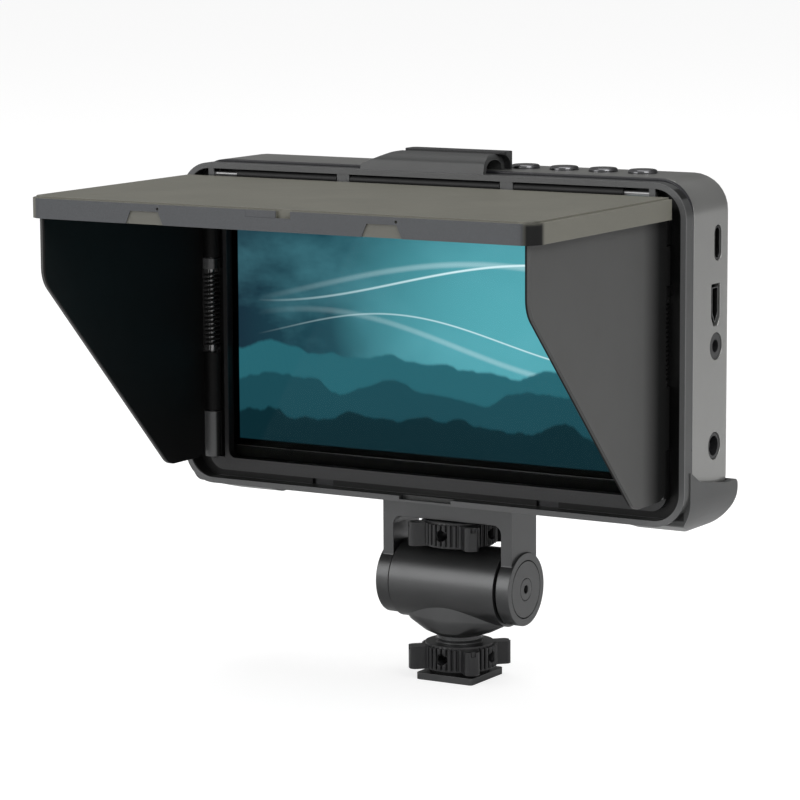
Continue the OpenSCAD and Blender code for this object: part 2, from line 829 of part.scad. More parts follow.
// A hinge lug for a wing pin between two heights, on the left side
module wing_lug(z0, z1) {
  rod_z(z0, z1, -wing_x, wing_axis_y, knuckle_r);
  block([-wing_x - knuckle_r + 0.3, wing_axis_y, z0], [-wing_x + knuckle_r - 0.3, floor_y + 0.2, z1]);
}

module wing_lugs() {
  wing_lug(wing_base, knuckle_z - move_gap);
  wing_lug(spring_z + spring_h, spring_z + spring_h + stop_lug_t);
  wing_lug(upper_z + upper_t + move_gap, lug_top);
}

module lid_lug(x0, x1) {
  rod_x(x0, x1, lid_axis_y, lid_axis_z, lid_barrel_r);
  block([x0, lid_axis_y - lid_barrel_r, lid_axis_z], [x1, lid_axis_y + lid_barrel_r, hood_top - hood_t + 0.2]);
}

// The hook's side outline: a nose behind the body that sweeps down and forward
module hook_side_view() {
  z = body_z;
  behind = back_y + 2;
  start = face_y - 2.5;
  polygon(rounded([[start, z + 14.4], [face_y + 3.4, z + 10.9], [back_y - 5, z + 8.2],
    [behind, z + 8.6], [behind - 0.4, z + 2.6], [back_y - 3.6, z - hook_drop],
    [face_y + 12, z - hook_drop], [start, hood_base]],
    [0.3, 6, 8, 1.8, 10, 5, 8, 2]));
}

// The right hook holds the body's lower corner from below, beside and behind
module corner_hook() {
  grip = 3.2;
  lap = hood_lap_x + hook_side;
  intersection() {
    run_x(side_x - hook_len, side_x + lap) hook_side_view();
    difference() {
      slab(face_y - 3, back_y + 6)
        soft_rect(mon_w + 2 * lap, mon_h + 2 * hook_drop, mon_r + 1, [0, body_cz]);
      slab(face_y - 4, face_y - groove_w) hood_face(0.2);
      slab(face_y - 4, face_y + cut) hood_face(groove_t + 0.2);
      slab(face_y, back_y + 0.05) body_face(-fit_gap);
      slab(back_y, back_y + 7) body_face(grip);
    }
  }
}

// The clip's arched side outline at a distance inside its outer face
function arch(inset, p = 2.4) =
  let (half = clip_half_y - inset, rise = clip_rise - inset)
  [for (i = [0:24]) let (u = i / 12 - 1)
    [clip_y + half * u, hood_top + rise * pow(max(0, 1 - pow(abs(u), p)), 1 / p)]];

// The clip's outline from the front, which slopes up from its left end
module clip_front_view() {
  low = hood_top - 0.3;
  high = hood_top + clip_rise;
  polygon(rounded([[clip_x - clip_half, low], [clip_x - clip_half, low + 1.8],
    [clip_x - clip_half + clip_slope, high], [clip_x + clip_half, high], [clip_x + clip_half, low]],
    [0.3, 1.2, 6, 1.4, 0.3]));
}

// The clip stands on the frame, and its rear leg ends just above the body
module top_clip() {
  front = clip_y - clip_half_y;
  back = clip_y + clip_half_y;
  left = clip_x - clip_half;
  right = clip_x + clip_half;
  difference() {
    intersection() {
      slab(front, back) clip_front_view();
      run_x(left, right) polygon([each arch(0), [back, hood_top - cut], [front, hood_top - cut]]);
    }
    run_x(left + clip_slope, right + cut)
      polygon([[front + clip_t, hood_top - cut], each arch(clip_t), [back - clip_t, hood_top - cut]]);
    block([left - cut, face_y, hood_top - cut], [right + cut, back + cut, body_top + fit_gap]);
  }
}

module hood_frame() {
  side_in = window_w / 2 + rib_t;
  color("#565656") difference() {
    union() {
      difference() {
        union() {
          slab(lip_y, face_y - groove_w) hood_face(0);
          slab(face_y - groove_w - 0.1, face_y) hood_face(groove_t);
        }
        slab(lip_y - cut, floor_y) hood_face(hood_t);
        slab(floor_y - cut, face_y + cut) window_face(0, 2.3);
        for (s = [-1, 1]) block([s * snap_x - snap_w / 2, floor_y - cut, hood_base + hood_t],
          [s * snap_x + snap_w / 2, face_y + cut, ring_base]);
      }
      difference() {
        slab(ring_y, face_y) soft_rect(ring_w, ring_top - ring_base, 5, [0, screen_z]);
        slab(ring_y - cut, face_y + cut) window_face(0, 2.3);
        for (s = [0, 1]) mirror([s, 0, 0])
          block([side_in, ring_y - cut, wing_base - 0.3], [ring_w / 2 + cut, floor_y, lug_top + 0.3]);
      }
      for (s = [0, 1]) mirror([s, 0, 0]) {
        wing_lugs();
        lid_lug(lid_lug_x - lid_lug_w / 2, lid_lug_x + lid_lug_w / 2);
        lid_lug(pin_end_x - 1.8, pin_end_x);
        corner_hook();
      }
      top_clip();
    }
    for (s = [-1, 1]) rod_z(wing_base - cut, lug_top + cut, s * wing_x, wing_axis_y, pin_r);
    rod_x(-pin_end_x, pin_end_x, lid_axis_y, lid_axis_z, lid_pin_r);
    block([-recess_w / 2, lip_y - cut, hood_base + 0.6], [recess_w / 2, lip_y + 2.4, ring_base - 0.2]);
  }
}

// The finger tab that leans on the clip's rear leg and laps over its top
module clip_tab() {
  left = clip_x - clip_half / 2 - 0.6;
  right = clip_x + clip_half + 2;
  back = clip_y + clip_half_y + 1.8;
  color("#101010") difference() {
    slab_z(body_top + fit_gap, hood_top + clip_rise + 0.5)
      soft_rect(right - left, 6, 1.6, [(left + right) / 2, back - 3]);
    run_x(left - cut, right + cut) polygon([[clip_y - clip_half_y, hood_top - cut],
      each arch(0), [clip_y + clip_half_y, hood_top - cut]]);
  }
}

module lid_hinge_pin() {
  color("silver") rod_x(-pin_end_x, pin_end_x, lid_axis_y, lid_axis_z, lid_pin_r);
}

module wing_pin(s) {
  color("silver") rod_z(wing_base, lug_top, s * wing_x, wing_axis_y, pin_r);
}

module wing_pin_left() { wing_pin(-1); }
module wing_pin_right() { wing_pin(1); }

// ---- Lid ----------------------------------------------------------------

// The lid's plan, drawn in by an inset along the sides and the front
module lid_plan(inset) {
  half = lid_w / 2 - inset;
  front = lid_front + inset;
  r = lid_r - inset;
  translate([-half, front + r]) square([2 * half, lid_back - front - r]);
  translate([-half + r, front]) square([2 * half - 2 * r, r + 1]);
  for (s = [-1, 1]) translate([s * (half - r), front + r]) circle(r);
}

module lid_knuckle(x0, x1) {
  difference() {
    union() {
      rod_x(x0, x1, lid_axis_y, lid_axis_z, lid_barrel_r);
      block([x0, lid_back - 0.8, lid_under], [x1, lid_axis_y, lid_under + 1]);
    }
    rod_x(x0 - cut, x1 + cut, lid_axis_y, lid_axis_z, lid_pin_r + run_gap);
  }
}

// A shallow scoop for a finger tip in the front rim, with a pin mark beside it
module lid_scoop(x) {
  low = lid_top - lid_rim;
  high = lid_top - lid_rim / 2 + 0.5;
  half = scoop_w / 2;
  slab(lid_front - cut, lid_front + 0.5)
    polygon([[x - half, low - cut], [x + half, low - cut], [x + half - 2, high], [x - half + 2, high]]);
  rod_y(lid_front - cut, lid_front + 1, x + half - 2.2, high + 0.8, 0.4);
}

module lid() {
  step = 1;
  lug0 = lid_lug_x - lid_lug_w / 2 - move_gap;
  lug1 = lid_lug_x + lid_lug_w / 2 + move_gap;
  color("#7d7a70") {
    difference() {
      union() {
        slab_z(lid_top - lid_rim, lid_top - 0.5) lid_plan(0);
        slab_z(lid_top - 0.6, lid_top) lid_plan(step);
      }
      slab_z(lid_top - lid_rim - cut, lid_under) intersection() {
        lid_plan(rim_t);
        translate([-lid_w, lid_front]) square([2 * lid_w, lid_reach]);
      }
      for (s = [-1, 1]) lid_scoop(latch_x + s * snap_x);
      block([latch_x - latch_w / 2, lid_front - cut, lid_top - latch_h],
        [latch_x + latch_w / 2 + latch_notch, lid_front + latch_d, lid_top + cut]);
    }
    lid_knuckle(-lug0, lug0);
    lid_knuckle(lug1, lid_end_x);
    lid_knuckle(-lid_end_x, -lug1);
  }
}

// The latch tongue in its pocket, whose free end leaves a notch beside it
module lid_latch() {
  color("#3a3b3f") block([latch_x - latch_w / 2, lid_front, lid_top - latch_h],
    [latch_x + latch_w / 2, lid_front + latch_d, lid_top - 0.5]);
}

// ---- Wings --------------------------------------------------------------

// A wing's outline from the side: a straight nose, a 45 degree cut, a flat foot
module wing_side() {
  nose_z = wing_top - wing_nose;
  foot_y = wing_rear - wing_foot;
  polygon(rounded([[wing_front, wing_top], [wing_front, nose_z], [foot_y, wing_base],
    [wing_rear - 3.5, wing_base], [wing_rear, wing_base + 1.5], [wing_rear, wing_top]],
    [1, wing_bend, wing_heel, 1.5, 1.5, 1]));
}

// A knuckle of the left wing with the strip of sheet that joins it
module wing_knuckle(z0, z1) {
  difference() {
    union() {
      rod_z(z0, z1, -wing_x, wing_axis_y, knuckle_r);
      block([-wing_out, wing_rear - 1, z0], [-wing_out + wing_t, wing_axis_y, z1]);
    }
    rod_z(z0 - cut, z1 + cut, -wing_x, wing_axis_y, pin_r + run_gap);
  }
}

module wing() {
  color("#505050") {
    run_x(-wing_out, -wing_out + wing_t) wing_side();
    wing_knuckle(knuckle_z, spring_z - run_gap);
    wing_knuckle(upper_z, upper_z + upper_t);
  }
}

module wing_left() { wing(); }
module wing_right() { mirror([1, 0, 0]) wing(); }

// ---- Torsion springs ----------------------------------------------------

// The springs are tubes of 6 sides with 8 rings to a curl. Each end bends
// through a small arc and runs straight, square to the knuckle that it meets.
spring_r = knuckle_r - wire_r;
bend_r = 0.6;
straight = 2 * wire_r;
end_h = straight + bend_r;
coil_h = spring_h - 2 * end_h;

function coil_point(t) = [spring_r * cos(360 * t), spring_r * sin(360 * t), end_h + coil_h * t / curls];
function end_arc(a) = [spring_r, -bend_r * sin(a), end_h - bend_r * (1 - cos(a))];
function flip(p) = [p.x, -p.y, spring_h - p.z];

spring_path = concat(
  [[spring_r, -bend_r, 0]],
  [for (a = [90:-30:30]) end_arc(a)],
  [for (i = [0:8 * curls]) coil_point(i / 8)],
  [for (a = [30:30:90]) flip(end_arc(a))],
  [[spring_r, bend_r, spring_h]]);

// A tube of 6 sides along a path: a ring at each point, square to the path
module tube(path, r) {
  n = len(path);
  dirs = [for (i = [0:n - 1]) let (d = path[min(i + 1, n - 1)] - path[max(i - 1, 0)]) d / norm(d)];
  ends = [for (i = [0:n - 1]) i == 0 || i == n - 1 ? [0, 0, 1] : dirs[i]];
  points = [for (i = [0:n - 1])
    let (out = [path[i].x, path[i].y, 0] / norm([path[i].x, path[i].y]))
    let (side = out - ends[i] * (out * ends[i]), u = side / norm(side), v = cross(ends[i], u))
    for (k = [0:5]) path[i] + r * (u * cos(60 * k) + v * sin(60 * k))];
  faces = concat(
    [for (i = [0:n - 2], k = [0:5]) each let (a = 6 * i + k, b = 6 * i + (k + 1) % 6)
      [[a, a + 6, b], [b, a + 6, b + 6]]],
    [for (k = [1:4]) [0, k, k + 1]],
    [for (k = [1:4]) [6 * n - 6, 6 * n - 6 + k + 1, 6 * n - 6 + k]]);
  polyhedron(points, faces);
}

// Least distance between points at least a quarter curl apart, less the wire
least_gap = min([for (i = [0:len(spring_path) - 7], j = [i + 6:len(spring_path) - 1])
  norm(spring_path[i] - spring_path[j])]) - 2 * wire_r;
echo(spring_least_gap = least_gap);

module wing_spring(s) {
  color("silver") translate([s * wing_x, wing_axis_y, spring_z]) tube(spring_path, wire_r);
}

module wing_spring_left() { wing_spring(-1); }
module wing_spring_right() { wing_spring(1); }

// ---- Drawing ------------------------------------------------------------

shoe_foot();
lock_washer();
lock_knob();
tilt_barrel();
tilt_axle();
friction_washers();
fork_bracket();
end_cap_left();
end_cap_right();
fork_pad();
thumb_wheel();
tripod_screw();
rear_shell();
front_bezel();
cover_glass();
lcd_panel();
backlight();
panel_tray();
main_board();
display_cable();
button_board();
button_1();
button_2();
button_3();
button_4();
usb_c_socket();
video_socket();
headphone_socket();
power_socket();
tripod_insert();
battery_plate();
battery_contacts();
battery_release();
shell_screws();
hood_frame();
clip_tab();
lid_hinge_pin();
lid();
lid_latch();
wing_left();
wing_right();
wing_pin_left();
wing_pin_right();
wing_spring_left();
wing_spring_right();
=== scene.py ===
import json
import math

import bmesh
import bpy
from mathutils import Matrix, Vector

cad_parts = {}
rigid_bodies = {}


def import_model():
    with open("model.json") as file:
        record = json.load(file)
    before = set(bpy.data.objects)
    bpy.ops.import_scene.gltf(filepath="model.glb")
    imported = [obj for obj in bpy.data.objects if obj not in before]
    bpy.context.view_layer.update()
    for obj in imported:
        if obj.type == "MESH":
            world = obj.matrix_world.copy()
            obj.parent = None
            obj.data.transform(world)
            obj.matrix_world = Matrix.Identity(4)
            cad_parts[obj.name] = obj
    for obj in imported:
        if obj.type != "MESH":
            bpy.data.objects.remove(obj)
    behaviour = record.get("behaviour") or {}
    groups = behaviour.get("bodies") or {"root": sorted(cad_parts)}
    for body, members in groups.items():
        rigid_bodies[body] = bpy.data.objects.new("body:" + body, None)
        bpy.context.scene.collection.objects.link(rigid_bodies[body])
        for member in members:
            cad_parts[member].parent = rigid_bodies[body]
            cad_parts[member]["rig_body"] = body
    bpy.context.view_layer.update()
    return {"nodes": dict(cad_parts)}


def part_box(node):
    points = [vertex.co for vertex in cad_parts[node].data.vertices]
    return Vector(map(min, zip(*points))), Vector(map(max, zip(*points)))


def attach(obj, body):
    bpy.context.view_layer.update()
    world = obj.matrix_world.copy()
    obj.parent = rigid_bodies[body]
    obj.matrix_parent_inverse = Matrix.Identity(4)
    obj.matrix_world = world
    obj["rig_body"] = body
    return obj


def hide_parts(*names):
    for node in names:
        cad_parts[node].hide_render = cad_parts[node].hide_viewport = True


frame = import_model()
SKY_FRONT, SKY_BACK = 0.58, 0.16
# Lengths and places in metres
MM = 0.001
SCREEN_LOW, SCREEN_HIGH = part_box("lcd_panel")
LAMP_AIM = (0, 0, 0.09)
FLOOR_REACH = 12.0
RELIEF_DEPTH = 0.05 * MM
# Width of the lighter sharp edges, which show edge wear and a painted highlight
WORN_HIGHLIT_EDGE_WIDTH = 0.35 * MM
PICTURE_BORDER = 2 * MM
PICTURE_EDGE = 0.15 * MM
WELD = 0.002 * MM
FLAT_ANGLE, CORNER_ANGLE, BEVEL_ANGLE, SMOOTH_ANGLE = (math.radians(a) for a in (0.6, 28, 32, 38))


# ---- Camera, lamps, floor ------------------------------------------------

def make_camera():
    """The photograph's view: azimuth and elevation of the eye, its distance and what it looks at."""
    azimuth, elevation, roll = (math.radians(a) for a in (30.96, 8.55, -0.29))
    distance, lens_mm, sensor_mm = 1.00383, 159.65, 36.0
    target = Vector((-7.05, -21.22, 83.39)) * MM
    back = Vector((math.sin(azimuth) * math.cos(elevation), -math.cos(azimuth) * math.cos(elevation),
                   math.sin(elevation)))
    right = Vector((math.cos(azimuth), math.sin(azimuth), 0))
    up = back.cross(right)
    right, up = (right * math.cos(roll) + up * math.sin(roll), up * math.cos(roll) - right * math.sin(roll))
    data = bpy.data.cameras.new("camera")
    data.lens, data.sensor_width, data.clip_start = lens_mm, sensor_mm, 0.05
    camera = bpy.data.objects.new("camera", data)
    bpy.context.scene.collection.objects.link(camera)
    turn = Matrix((right, up, back)).transposed().to_4x4()
    camera.matrix_world = Matrix.Translation(target + back * distance) @ turn
    bpy.context.scene.camera = camera


def area_lamp(name, place, size, watts):
    """A square soft lamp that looks at the middle of the object."""
    data = bpy.data.lights.new(name, "AREA")
    data.shape, data.size, data.energy = "SQUARE", size, watts
    lamp = bpy.data.objects.new(name, data)
    bpy.context.scene.collection.objects.link(lamp)
    lamp.location = place
    lamp.rotation_euler = (Vector(LAMP_AIM) - Vector(place)).to_track_quat("-Z", "Y").to_euler()


def shown_ray(nodes, links):
    """A value of 1 for rays that show the background: camera rays, also those that passed glass."""
    path = nodes.new("ShaderNodeLightPath")
    add = nodes.new("ShaderNodeMath")
    add.operation, add.use_clamp = "ADD", True
    links.new(path.outputs["Is Camera Ray"], add.inputs[0])
    links.new(path.outputs["Is Transmission Ray"], add.inputs[1])
    return add.outputs[0]


def make_world():
    """A soft grey sky, darker behind the object, that shows white to the eye."""
    world = bpy.data.worlds.new("studio")
    bpy.context.scene.world = world
    world.use_nodes = True
    nodes, links = world.node_tree.nodes, world.node_tree.links
    nodes.clear()
    soft, bright, mix, out = (nodes.new(k) for k in ("ShaderNodeBackground", "ShaderNodeBackground",
                                                     "ShaderNodeMixShader", "ShaderNodeOutputWorld"))
    split = nodes.new("ShaderNodeSeparateXYZ")
    links.new(nodes.new("ShaderNodeTexCoord").outputs["Generated"], split.inputs[0])
    soft.inputs["Color"].default_value = (1, 1, 1, 1)
    sky = remap(nodes, links, split.outputs["Y"], 0.0, 0.85, SKY_FRONT, SKY_BACK)
    links.new(sky, soft.inputs["Strength"])
    bright.inputs["Color"].default_value = (1, 1, 1, 1)
    links.new(shown_ray(nodes, links), mix.inputs[0])
    links.new(soft.outputs[0], mix.inputs[1])
    links.new(bright.outputs[0], mix.inputs[2])
    links.new(mix.outputs[0], out.inputs[0])


def make_floor():
    """A pale floor that shows white to the eye and keeps the object's soft shadow."""
    mesh = bpy.data.meshes.new("floor")
    corners = [(x * FLOOR_REACH, y * FLOOR_REACH, 0) for x, y in ((-1, -1), (1, -1), (1, 1), (-1, 1))]
    mesh.from_pydata(corners, [], [(0, 1, 2, 3)])
    floor = bpy.data.objects.new("floor", mesh)
    bpy.context.scene.collection.objects.link(floor)
    mat = bpy.data.materials.new("floor")
    mat.use_nodes = True
    nodes, links = mat.node_tree.nodes, mat.node_tree.links
    nodes.clear()
    plain, white, glow, both, mix, out = (nodes.new(k) for k in (
        "ShaderNodeBsdfDiffuse", "ShaderNodeBsdfDiffuse", "ShaderNodeEmission", "ShaderNodeAddShader",
        "ShaderNodeMixShader", "ShaderNodeOutputMaterial"))
    plain.inputs["Color"].default_value = (0.75, 0.75, 0.75, 1)
    white.inputs["Color"].default_value = (0.4, 0.4, 0.4, 1)
    glow.inputs["Strength"].default_value = 0.75
    links.new(white.outputs[0], both.inputs[0])
    links.new(glow.outputs[0], both.inputs[1])
    links.new(shown_ray(nodes, links), mix.inputs[0])
    links.new(plain.outputs[0], mix.inputs[1])
    links.new(both.outputs[0], mix.inputs[2])
    links.new(mix.outputs[0], out.inputs[0])
    mesh.materials.append(mat)


# ---- Materials -----------------------------------------------------------

def new_material(name):
    mat = bpy.data.materials.new(name)
    mat.use_nodes = True
    nodes, links = mat.node_tree.nodes, mat.node_tree.links
    return mat, nodes, links, nodes["Principled BSDF"]


def noise(nodes, links, coord, scale, detail, rough=0.55):
    tex = nodes.new("ShaderNodeTexNoise")
    tex.inputs["Scale"].default_value = scale
    tex.inputs["Detail"].default_value = detail
    tex.inputs["Roughness"].default_value = rough
    links.new(coord, tex.inputs["Vector"])
    return tex.outputs["Fac"]


def remap(nodes, links, value, low, high, out_low, out_high):
    node = nodes.new("ShaderNodeMapRange")
    for key, number in (("From Min", low), ("From Max", high), ("To Min", out_low), ("To Max", out_high)):
        node.inputs[key].default_value = number
    links.new(value, node.inputs["Value"])
    return node.outputs["Result"]


def mixed(nodes, links, factor, a, b):
    """Colour a where the factor is 0 and colour b where it is 1."""
    node = nodes.new("ShaderNodeMix")
    node.data_type = "RGBA"
    links.new(factor, node.inputs[0])
    for socket, value in ((node.inputs[6], a), (node.inputs[7], b)):
        if isinstance(value, tuple):
            socket.default_value = (*value, 1)
        else:
            links.new(value, socket)
    return node.outputs[2]


def tone(color, gain):
    return tuple(min(1.0, c * gain) for c in color)


def math_node(nodes, links, kind, a, b=None, clamp=False):
    node = nodes.new("ShaderNodeMath")
    node.operation, node.use_clamp = kind, clamp
    for socket, value in zip(node.inputs, (a, b)):
        if value is None:
            continue
        if isinstance(value, (int, float)):
            socket.default_value = value
        else:
            links.new(value, socket)
    return node.outputs[0]


def within(nodes, links, split, axis, low, high, soft):
    """1 where an object coordinate lies between two values in millimetres, 0 outside them."""
    value = split.outputs[axis]
    up = remap(nodes, links, value, (low - soft) * MM, (low + soft) * MM, 0.0, 1.0)
    down = remap(nodes, links, value, (high - soft) * MM, (high + soft) * MM, 1.0, 0.0)
    return math_node(nodes, links, "MULTIPLY", up, down)


def zoned(nodes, links, coord, fine, base, gloss, zones):
    """Lays the zones' colours and gloss over a material's own, and gives both back."""
    split = nodes.new("ShaderNodeSeparateXYZ")
    links.new(coord, split.inputs[0])
    for low, high, shade, zone_gloss, soft in zones:
        inside = within(nodes, links, split, 0, low[0], high[0], soft)
        for axis in (1, 2):
            part = within(nodes, links, split, axis, low[axis], high[axis], soft)
            inside = math_node(nodes, links, "MULTIPLY", inside, part)
        change = math_node(nodes, links, "SUBTRACT", zone_gloss, gloss)
        change = math_node(nodes, links, "MULTIPLY", inside, change)
        gloss = math_node(nodes, links, "ADD", gloss, change)
        grain = remap(nodes, links, fine, 0.35, 0.65, 0.0, 1.0)
        inner = mixed(nodes, links, grain, tone(shade, 0.85), tone(shade, 1.2))
        base = mixed(nodes, links, inside, base, inner)
    return base, gloss


def worn_and_highlit_edges(nodes, links, edge_wear_and_highlight):
    """A value that rises along sharp edges: edge wear together with a painted highlight."""
    bevel = nodes.new("ShaderNodeBevel")
    bevel.samples = 4
    bevel.inputs["Radius"].default_value = WORN_HIGHLIT_EDGE_WIDTH
    geometry = nodes.new("ShaderNodeNewGeometry")
    dot = nodes.new("ShaderNodeVectorMath")
    dot.operation = "DOT_PRODUCT"
    links.new(bevel.outputs[0], dot.inputs[0])
    links.new(geometry.outputs["Normal"], dot.inputs[1])
    return remap(nodes, links, dot.outputs["Value"], 0.99, 0.8, 0.0, edge_wear_and_highlight)


def surface(name, color, rough, metal, spec, grain, bump, vary, edge_wear_and_highlight=0.0, zones=()):
    """A moulded, painted or machined surface: blotchy tone, fine grain, uneven gloss, and sharp edges
    lightened by wear and by a painted highlight.
    zones are boxes in millimetres of the piece's own frame, each with its colour, gloss and soft edge; their
    colours paint light and shade onto the piece."""
    mat, nodes, links, shader = new_material(name)
    shader.inputs["Metallic"].default_value = metal
    shader.inputs["Specular IOR Level"].default_value = spec
    coord = nodes.new("ShaderNodeTexCoord").outputs["Object"]
    blotch = noise(nodes, links, coord, 60.0, 4.0)
    base = mixed(nodes, links, remap(nodes, links, blotch, 0.3, 0.7, 0.0, 1.0), tone(color, 1 - vary),
                 tone(color, 1 + vary))
    fine = noise(nodes, links, coord, grain, 2.0)
    base = mixed(nodes, links, remap(nodes, links, fine, 0.35, 0.65, 0.0, 0.35), base, tone(color, 1.35))
    # Sharp edges lightened: bare worn edges and a painted highlight
    if edge_wear_and_highlight > 0:
        bare_and_highlit = tuple(min(1.0, c * 1.6 + 0.05) for c in color)
        base = mixed(nodes, links, worn_and_highlit_edges(nodes, links, edge_wear_and_highlight), base, bare_and_highlit)
    if zones:
        base, gloss = zoned(nodes, links, coord, fine, base, spec, zones)
        links.new(gloss, shader.inputs["Specular IOR Level"])
    links.new(base, shader.inputs["Base Color"])
    links.new(remap(nodes, links, blotch, 0.25, 0.75, rough - 0.05, rough + 0.05), shader.inputs["Roughness"])
    relief = nodes.new("ShaderNodeBump")
    relief.inputs["Strength"].default_value = bump
    relief.inputs["Distance"].default_value = RELIEF_DEPTH
    links.new(fine, relief.inputs["Height"])
    links.new(relief.outputs["Normal"], shader.inputs["Normal"])
    return mat


def glass_material():
    """Clear glass with faint smears."""
    mat, nodes, links, shader = new_material("cover glass")
    shader.inputs["Base Color"].default_value = (0.9, 0.92, 0.93, 1)
    shader.inputs["Transmission Weight"].default_value = 1.0
    shader.inputs["IOR"].default_value = 1.12
    coord = nodes.new("ShaderNodeTexCoord").outputs["Object"]
    smear = noise(nodes, links, coord, 45.0, 3.0)
    links.new(remap(nodes, links, smear, 0.4, 0.7, 0.01, 0.05), shader.inputs["Roughness"])
    return mat


def screen_material():
    """The lit display: a teal sky with ribbons of light over dark ridges, black outside the picture."""
    mat, nodes, links, shader = new_material("display picture")

    def op(kind, a, b=None, clamp=False):
        return math_node(nodes, links, kind, a, b, clamp)

    centre = (SCREEN_LOW + SCREEN_HIGH) / 2
    size = (SCREEN_HIGH - SCREEN_LOW) / 2
    half_w, half_h = size.x - PICTURE_BORDER, size.z - PICTURE_BORDER
    coord = nodes.new("ShaderNodeTexCoord").outputs["Object"]
    split = nodes.new("ShaderNodeSeparateXYZ")
    links.new(coord, split.inputs[0])
    u = op("DIVIDE", op("SUBTRACT", split.outputs["X"], centre.x), half_w)
    v = op("DIVIDE", op("SUBTRACT", split.outputs["Z"], centre.z), half_h)
    place = nodes.new("ShaderNodeCombineXYZ")
    links.new(u, place.inputs[0])
    links.new(v, place.inputs[1])
    uv = place.outputs[0]

    # Deep teal at the left and the top, a pale glow right of the middle
    across = remap(nodes, links, u, -1.0, 0.7, 0.0, 1.0)
    glow_x = op("POWER", op("SUBTRACT", u, 0.42), 2.0)
    glow_y = op("POWER", op("SUBTRACT", v, 0.05), 2.0)
    far = op("ADD", glow_x, op("MULTIPLY", glow_y, 0.7))
    glow = op("SUBTRACT", 1.0, op("MULTIPLY", far, 1.1), clamp=True)
    color = mixed(nodes, links, across, (0.010, 0.030, 0.047), (0.030, 0.175, 0.215))
    color = mixed(nodes, links, op("MULTIPLY", glow, 0.75), color, (0.12, 0.50, 0.56))
    mist = noise(nodes, links, uv, 1.6, 5.0)
    color = mixed(nodes, links, remap(nodes, links, mist, 0.45, 0.8, 0.0, 0.35), color, (0.16, 0.52, 0.60))

    # Long ribbons of light that drift across in slow waves
    for height, swell, beat, phase, width, strength in (
            (0.30, 0.20, 2.1, 0.4, 0.012, 0.95), (0.22, 0.26, 1.7, 1.1, 0.030, 0.30),
            (-0.10, 0.16, 2.9, 2.2, 0.009, 0.70), (-0.16, 0.22, 2.3, 2.9, 0.030, 0.25)):
        wave = op("MULTIPLY", op("SINE", op("ADD", op("MULTIPLY", u, beat), phase)), swell)
        away = op("ABSOLUTE", op("SUBTRACT", op("SUBTRACT", v, height), wave))
        line = remap(nodes, links, away, width, width * 0.25, 0.0, strength)
        fade = remap(nodes, links, u, -0.9, 0.1, 0.0, 1.0)
        color = mixed(nodes, links, op("MULTIPLY", line, fade), color, (0.75, 0.97, 1.0))

    # Three ridges, each darker than the one behind
    for level, rise, scale, shade in ((-0.30, 0.55, 1.3, (0.022, 0.130, 0.160)),
                                      (-0.52, 0.50, 2.0, (0.012, 0.070, 0.090)),
                                      (-0.74, 0.42, 2.9, (0.004, 0.024, 0.032))):
        stretch = nodes.new("ShaderNodeMapping")
        stretch.inputs["Location"].default_value = (level * 7.0, level * 3.0, 0)
        stretch.inputs["Scale"].default_value = (scale, 0.0, 0.0)
        links.new(uv, stretch.inputs["Vector"])
        crest = noise(nodes, links, stretch.outputs["Vector"], 1.5, 5.0, 0.5)
        top = op("ADD", op("MULTIPLY", op("SUBTRACT", crest, 0.5), rise), level)
        below = remap(nodes, links, op("SUBTRACT", v, top), 0.012, -0.012, 0.0, 1.0)
        color = mixed(nodes, links, below, color, shade)

    # The picture's straight edges
    inside_w, inside_h = (remap(nodes, links, op("ABSOLUTE", value), 1.0, 1.0 - PICTURE_EDGE / half, 0.0, 1.0)
                          for value, half in ((u, half_w), (v, half_h)))
    shader.inputs["Base Color"].default_value = (0.004, 0.004, 0.005, 1)
    shader.inputs["Roughness"].default_value = 0.35
    links.new(color, shader.inputs["Emission Color"])
    links.new(op("MULTIPLY", inside_w, inside_h), shader.inputs["Emission Strength"])
    return mat


# ---- Dressed CAD pieces --------------------------------------------------

def evaluated(piece):
    """Applies a piece's modifiers to its mesh."""
    graph = bpy.context.evaluated_depsgraph_get()
    mesh = bpy.data.meshes.new_from_object(piece.evaluated_get(graph), depsgraph=graph)
    piece.modifiers.clear()
    piece.data = mesh


def finish_mesh(piece, bevel):
    """Rounds a piece's sharp edges by a real radius and smooths its shading."""
    bpy.context.view_layer.update()
    if bevel > 0:
        mod = piece.modifiers.new("edges", "BEVEL")
        mod.width, mod.segments = bevel * MM, 2
        mod.limit_method, mod.angle_limit = "ANGLE", BEVEL_ANGLE
        mod.use_clamp_overlap = True
        evaluated(piece)
    piece.data.polygons.foreach_set("use_smooth", [True] * len(piece.data.polygons))
    piece.data.set_sharp_from_angle(angle=SMOOTH_ANGLE)
    mod = piece.modifiers.new("normals", "WEIGHTED_NORMAL")
    mod.keep_sharp = True
    evaluated(piece)


def body_of(node):
    """The body that carries a node."""
    return frame["nodes"][node]["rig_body"]


def round_chosen(bm, radius, segments, chosen):
    """Rounds the outer edges that a test picks by their middle, in millimetres."""
    edges = [e for e in bm.edges if len(e.link_faces) == 2 and e.is_convex
             and e.calc_face_angle(0) > CORNER_ANGLE and chosen((e.verts[0].co + e.verts[1].co) / (2 * MM))]
    if edges:
        bmesh.ops.bevel(bm, geom=edges, offset=radius * MM, offset_type="OFFSET", segments=segments,
                        profile=0.5, affect="EDGES", clamp_overlap=True)


